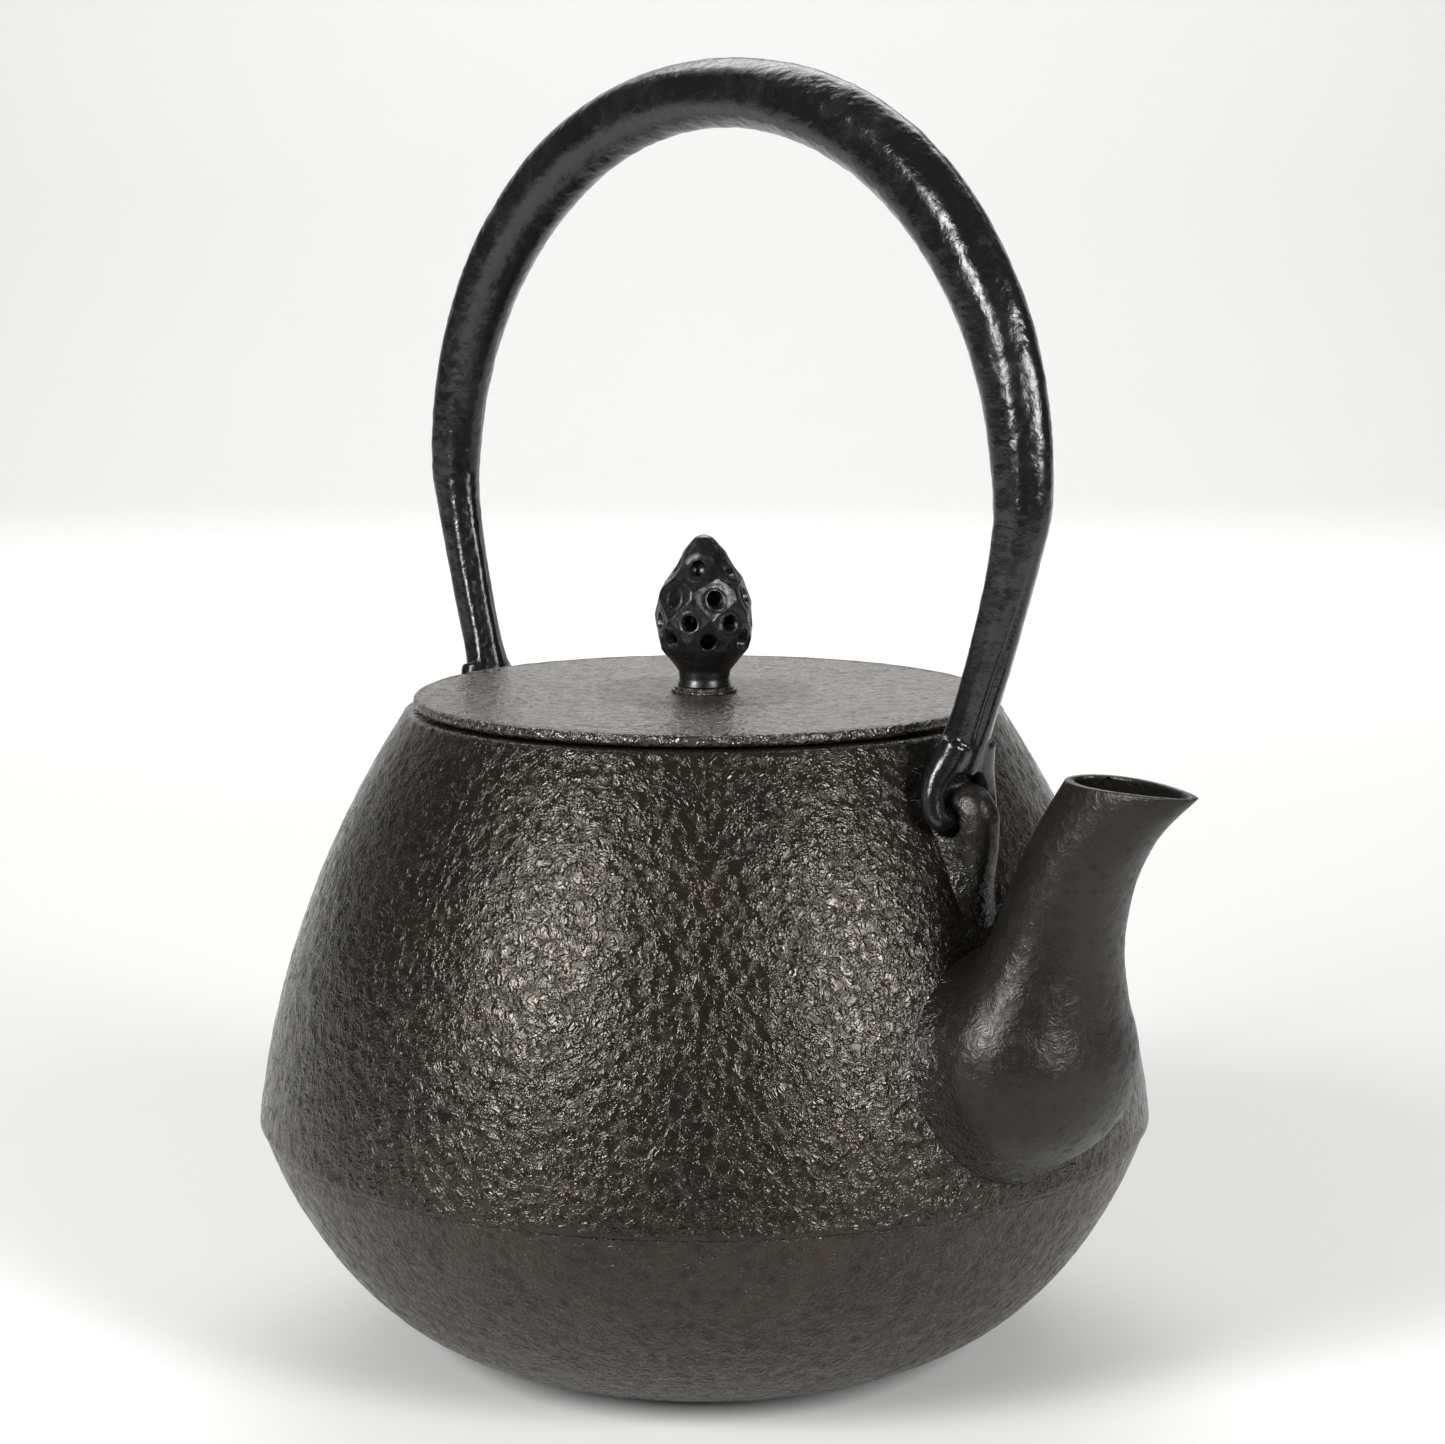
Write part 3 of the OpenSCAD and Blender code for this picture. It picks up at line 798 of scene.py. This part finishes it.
def bail_frames(step):
    """Centre, sideways direction and radii at even steps from the top to the foot of one half."""
    upper, lower = bail_half()
    share = np.concatenate([np.linspace(0, 15, 200) / 25, 0.6 + np.linspace(0, 10, 90)[1:] / 25])
    path = np.column_stack([np.vstack([upper, lower[1:]]), share])
    run = np.concatenate([[0], np.cumsum(np.linalg.norm(np.diff(path[:, :2], axis=0), axis=1))])
    at = np.linspace(0, run[-1], int(run[-1] / step) + 1)
    even = np.stack([np.interp(at, run, path[:, k]) for k in range(3)], axis=1)
    along = np.gradient(even[:, :2], axis=0)
    along[0] = (1, 0)
    along /= np.linalg.norm(along, axis=1)[:, None]
    side = np.stack([-along[:, 1], along[:, 0]], axis=1)
    a = spline(BAIL_RADII, even[:, 2])
    return even[:, :2], side, a, a * spline(BAIL_FLAT, even[:, 2])


def bail_ring(centre, side, a, b, sides, mirror, flats):
    """One ring of the bail: an oval with six shallow lengthwise flats."""
    g = np.arange(sides) * TURN / sides
    swell = 1 - flats * (1 - np.cos(6 * g)) * 0.5
    flat = centre + side * (a * np.cos(g) * swell)[:, None]
    return np.stack([mirror * flat[:, 0], b * np.sin(g) * swell, flat[:, 1]], axis=1)


def leaned(points):
    """Leans points about the line through both lug holes, as the loose bail does at rest."""
    points = np.array(points, float)
    y, z = points[..., 1].copy(), points[..., 2] - PIN_Z
    points[..., 1] = y * math.cos(LEAN) + z * math.sin(LEAN)
    points[..., 2] = PIN_Z - y * math.sin(LEAN) + z * math.cos(LEAN)
    return points


def hammered(points):
    """Height of the forged surface: flat dents, small pits and a slow waviness."""
    dents = -0.30 * np.clip(noise(points, 5.5, 51) - 0.45, 0, 1)
    return dents + 0.16 * (noise(points, 2.2, 52) - 1.0) + 0.10 * (ridges(points, 1.3, 53) - 1.0)


# One hooked prong of the fork as (x, y, z, radius), from inside the bail's foot to inside the lug's hole
PRONG = [
    (68.0, 2.6, 122.0, 3.0), (66.8, 3.9, 118.6, 2.9), (66.0, 5.5, 115.6, 2.5),
    (66.0, 6.5, 112.4, 2.15), (66.6, 6.3, 109.4, 2.1), (67.2, 4.9, 108.5, 1.9), (67.2, 1.8, 108.5, 1.75),
]


def tube_along(name, knots, sides=28, count=60):
    """A round tube with swelling radius through knots of (x, y, z, radius)."""
    path = spline(knots, np.linspace(0, 1, count))
    along = np.gradient(path[:, :3], axis=0)
    along /= np.linalg.norm(along, axis=1)[:, None]
    across = np.cross(along, [1.0, 0.0, 0.0])
    across /= np.linalg.norm(across, axis=1)[:, None]
    other = np.cross(along, across)
    g = np.arange(sides) * TURN / sides
    ring = across[:, None] * np.cos(g)[None, :, None] + other[:, None] * np.sin(g)[None, :, None]
    made = ring_mesh(name, path[:, None, :3] + ring * path[:, 3][:, None, None])
    outward(made)
    return made


def make_bail():
    """The whole bail in one skin: the tube, its solid feet and the two pairs of hooked prongs."""
    centre, side, a, b = bail_frames(1.0)
    last = int(np.flatnonzero(centre[:, 1] >= 117.6)[-1])
    wider = np.clip((130 - centre[:, 1]) / 12, 0, 1)
    b = b + 1.5 * wider**2
    flats = 0.03 + 0.05 * np.clip((170 - centre[:, 1]) / 30, 0, 1)
    rings = [bail_ring(centre[i], side[i], a[i], b[i], 64, 1, flats[i]) for i in range(last, 0, -1)]
    rings += [bail_ring(centre[i], side[i], a[i], b[i], 64, -1, flats[i]) for i in range(0, last + 1)]
    made = ring_mesh("bail", rings)
    outward(made)
    parts = [made]
    for mirror in (1, -1):
        for across in (1, -1):
            parts.append(tube_along("prong", [(mirror * x, across * y, z, r) for x, y, z, r in PRONG]))
    chosen = {"selected_objects": parts, "selected_editable_objects": parts}
    with bpy.context.temp_override(active_object=made, object=made, **chosen):
        bpy.ops.object.join()
    remeshed(made, 0.44, 5)
    upright = points_of(made)
    out = normals_of(made)
    inner = np.abs(upright[:, 0]) < np.interp(upright[:, 2], centre[::-1, 1], centre[::-1, 0])
    smooth_leg = np.clip((upright[:, 2] - 128) / 35, 0, 1)
    skin = hammered(upright) * (0.4 + 0.6 * smooth_leg)
    low = np.clip((158 - upright[:, 2]) / 14, 0, 1) * np.clip((upright[:, 2] - 121) / 3, 0, 1)
    groove = np.exp(-(((upright[:, 1] + 1.2 + 0.5 * np.sin(upright[:, 2] / 9)) / 0.3) ** 2)) * ~inner
    set_points(made, leaned(upright + out * (skin - 0.4 * groove * low)[:, None]))
    finished(made, "handle", "bail_iron", BAIL, "bail_tube", "front_fork", "rear_fork")


# ---------------------------------------------------------------- infuser basket
HOLE_PITCH = 2.0
BAND_R = 43.5


def perforated(name, columns, rows, place, wrap):
    """A sheet of square cells with a round hole in each; wrap joins its last column to its first.

    place maps (u, v, layer) to a point, with u and v in cells and layer 0 or 1 for the sheet's two faces."""
    points, faces, known = [], [], {}

    def corner(u, v, layer):
        key = (round(u * 8) % (columns * 8) if wrap else round(u * 8), round(v * 8), layer)
        if key not in known:
            known[key] = len(points)
            points.append(place(u, v, layer))
        return known[key]

    hole = [(0.5 + 0.27 * math.cos(k * TURN / 8), 0.5 + 0.27 * math.sin(k * TURN / 8)) for k in range(8)]
    square = [(1, 0.5), (1, 1), (0.5, 1), (0, 1), (0, 0.5), (0, 0), (0.5, 0), (1, 0)]
    for i in range(columns):
        for j in range(rows):
            rim = []
            for layer in (0, 1):
                start = len(points)
                points.extend(place(i + u, j + v, layer) for u, v in hole)
                rim.append(start)
                for k in range(8):
                    after = (k + 1) % 8
                    here, there = [corner(i + square[n][0], j + square[n][1], layer) for n in (k, after)]
                    quad = [start + k, here, there, start + after]
                    faces.append(quad if layer else quad[::-1])
            for k in range(8):
                after = (k + 1) % 8
                faces.append((rim[0] + k, rim[0] + after, rim[1] + after, rim[1] + k))
    # The sheet's outer edge, where a cell has no neighbour: (way to the neighbour, corners of that side)
    sides = (
        ((1, 0), (1, 0), (1, 1)), ((-1, 0), (0, 1), (0, 0)),
        ((0, 1), (1, 1), (0, 1)), ((0, -1), (0, 0), (1, 0)),
    )
    for i in range(columns):
        for j in range(rows):
            for (di, dj), a, b in sides:
                column = (i + di) % columns if wrap else i + di
                if 0 <= column < columns and 0 <= j + dj < rows:
                    continue
                middle = ((a[0] + b[0]) / 2, (a[1] + b[1]) / 2)
                for p, q in ((a, middle), (middle, b)):
                    near = [corner(i + p[0], j + p[1], layer) for layer in (0, 1)]
                    far = [corner(i + q[0], j + q[1], layer) for layer in (1, 0)]
                    faces.append((*near, *far))
    return new_object(name, points, faces)


def make_basket_wall():
    outer, foot, top = wall_high[0], wall_low[2], wall_high[2]
    inner = outer - 0.6
    columns, rows = int(TURN * outer / HOLE_PITCH), int((top - foot) / HOLE_PITCH)

    def place(u, v, layer):
        angle, radius = TURN * u / columns, (inner, outer - 0.02)[layer]
        return (radius * math.cos(angle), radius * math.sin(angle), foot + (top - foot) * v / rows)

    made = perforated("basket_wall", columns, rows, place, True)
    outward(made)
    finished(made, "infuser", "basket_steel", STEEL, "infuser_wall")


def make_basket_floor():
    radius, under, over = floor_high[0], floor_low[2], floor_high[2]
    count = 2 * int(radius / HOLE_PITCH)

    def place(u, v, layer):
        """The square sheet pressed out into a disc."""
        x, y = 2 * u / count - 1, 2 * v / count - 1
        disc_x, disc_y = x * math.sqrt(1 - y * y / 2), y * math.sqrt(1 - x * x / 2)
        return (radius * disc_x, radius * disc_y, (under, over)[layer])

    made = perforated("basket_floor", count, count, place, False)
    outward(made)
    finished(made, "infuser", "basket_steel", STEEL, "infuser_floor")


def make_basket_band(node, name, inner, bulge):
    """A plain steel band with rolled edges and a shallow bead pressed round it."""
    low, high = node_box(node)
    outer, foot, top = high[0], low[2], high[2]
    heights = np.linspace(foot, top, 25)
    bead = bulge * np.exp(-(((heights - (foot + top) / 2) / 0.9) ** 2))
    outline = np.vstack([
        [[inner + 0.15, foot], [outer - bulge - 0.15, foot]],
        np.stack([outer - bulge + bead, heights], axis=1)[1:-1],
        [[outer - bulge - 0.15, top], [inner + 0.15, top]],
        np.stack([np.full(len(heights), inner), heights[::-1]], axis=1)[1:-1],
    ])
    made = solid_of_turn(name, outline, 256)
    finished(made, "infuser", "basket_steel", STEEL, node)


def make_basket_rim():
    """The flat flange that hangs the basket in the mouth, with a rounded outer lip and a press line."""
    inner, outer, under, over = 44.3, rim_high[0], rim_low[2], rim_high[2]
    angle = np.linspace(-math.pi / 2, math.pi / 2, 9)
    half = (over - under) / 2
    lip = np.stack([outer - half + half * np.cos(angle), under + half + half * np.sin(angle)], axis=1)
    outline = np.vstack([
        [[inner, under], [46.0, under]],
        lip,
        [[47.0, over], [46.6, over - 0.18], [46.2, over], [inner, over]],
    ])
    made = solid_of_turn("basket_rim", outline, 256)
    finished(made, "infuser", "basket_steel", STEEL, "infuser_rim")


make_upper_shell()
make_lower_shell()
make_spout()
make_lug("front_lug", "lug_front", 1)
make_lug("rear_lug", "lug_rear", -1)
make_lid()
make_bud()
make_bail()
make_basket_wall()
make_basket_floor()
make_basket_band("infuser_collar", "basket_collar", BAND_R, 0.0)
make_basket_band("infuser_hoop", "basket_hoop", BAND_R, 0.25)
make_basket_rim()

# Small CAD nodes whose shape is right keep it and get their finish and softened edges
for node, material in (("knob_seat", LID), ("knob_stud", STUD), ("stud_washer", STUD)):
    kept = frame["nodes"][node]
    kept.data.materials.clear()
    kept.data.materials.append(material)
    soften = kept.modifiers.new("soft_edges", "BEVEL")
    soften.width = 0.15 * MM
    soften.segments = 2


# ---------------------------------------------------------------- stage, light and camera
VIEW_AZIMUTH = 48.2
VIEW_DISTANCE = 0.550
VIEW_HEIGHT = 0.2012
VIEW_DOWN = 0.1503


def pale_surface():
    s = Shader("floor_pale")
    colour, roughness = (0.77, 0.767, 0.757), 0.7
    tone = s.noise(300.0, 2.0, 0.5)
    tint = s.mix(tone, colour, tuple(c * 0.985 for c in colour))
    rough = s.ramp(tone, 0.3, 0.7, roughness, roughness + 0.05)
    return s.surface(tint, rough, s.bump(tone, 0.01, 0.1), specular=0.2)


def make_floor():
    """A pale table top, short on the camera's side, that rises in a smooth curve far behind the teapot."""
    near, far, bend, rise, below = -0.34, 3.0, 0.9, 1.6, 0.0003
    angle = math.radians(VIEW_AZIMUTH)
    path = [(near, 0.0), (far - bend, 0.0)]
    for t in np.linspace(0, math.pi / 2, 24):
        path.append((far - bend + bend * math.sin(t), bend - bend * math.cos(t)))
    path += [(far, rise)]
    points, faces = [], []
    for along, height in path:
        for side in (-3.0, 3.0):
            x = side * math.cos(angle) - along * math.sin(angle)
            y = side * math.sin(angle) + along * math.cos(angle)
            points.append((x / MM, y / MM, (height - below) / MM))
    for k in range(len(path) - 1):
        faces.append((2 * k, 2 * k + 1, 2 * k + 3, 2 * k + 2))
    sweep = new_object("floor", points, faces)
    smooth_shading(sweep)
    sweep.data.materials.append(pale_surface())


def around(azimuth, elevation, distance):
    """A point at an azimuth from the camera's side, positive to the camera's right, and an elevation."""
    a = math.radians(VIEW_AZIMUTH + azimuth)
    e = math.radians(elevation)
    return Vector((math.sin(a) * math.cos(e), -math.cos(a) * math.cos(e), math.sin(e))) * distance


def soft_light(name, place, aim, width, height, watts):
    lamp = bpy.data.lights.new(name, "AREA")
    lamp.shape = "RECTANGLE"
    lamp.size, lamp.size_y = width, height
    lamp.energy = watts
    made = bpy.data.objects.new(name, lamp)
    made.location = place
    made.rotation_euler = (Vector(aim) - Vector(place)).to_track_quat("-Z", "Y").to_euler()
    bpy.context.scene.collection.objects.link(made)


make_floor()
MIDDLE = Vector((0, 0, 0.09))
soft_light("left_softbox", around(-46, 30, 1.25), MIDDLE, 0.32, 0.56, 17)
soft_light("right_softbox", around(42, 28, 1.25), MIDDLE, 0.30, 0.54, 14)
soft_light("top_softbox", around(180, 46, 1.9), around(180, 0, 0.3), 1.4, 0.5, 10)
soft_light("backdrop_light", around(180, 58, 2.4), around(180, 9, 2.7), 3.2, 1.2, 58)

world = bpy.data.worlds.new("studio")
world.use_nodes = True
world.node_tree.nodes["Background"].inputs["Color"].default_value = (1.0, 1.0, 1.0, 1.0)
world.node_tree.nodes["Background"].inputs["Strength"].default_value = 0.07
bpy.context.scene.world = world
bpy.context.scene.view_settings.view_transform = "Standard"

lens = bpy.data.cameras.new("camera")
lens.lens = 73.1
lens.sensor_width = 36.0
lens.clip_start = 0.01
camera = bpy.data.objects.new("camera", lens)
turn = math.radians(VIEW_AZIMUTH)
camera.location = (VIEW_DISTANCE * math.sin(turn), -VIEW_DISTANCE * math.cos(turn), VIEW_HEIGHT)
camera.rotation_euler = Euler((math.pi / 2 - VIEW_DOWN, 0.0008, turn - 0.0064))
bpy.context.scene.collection.objects.link(camera)
bpy.context.scene.camera = camera
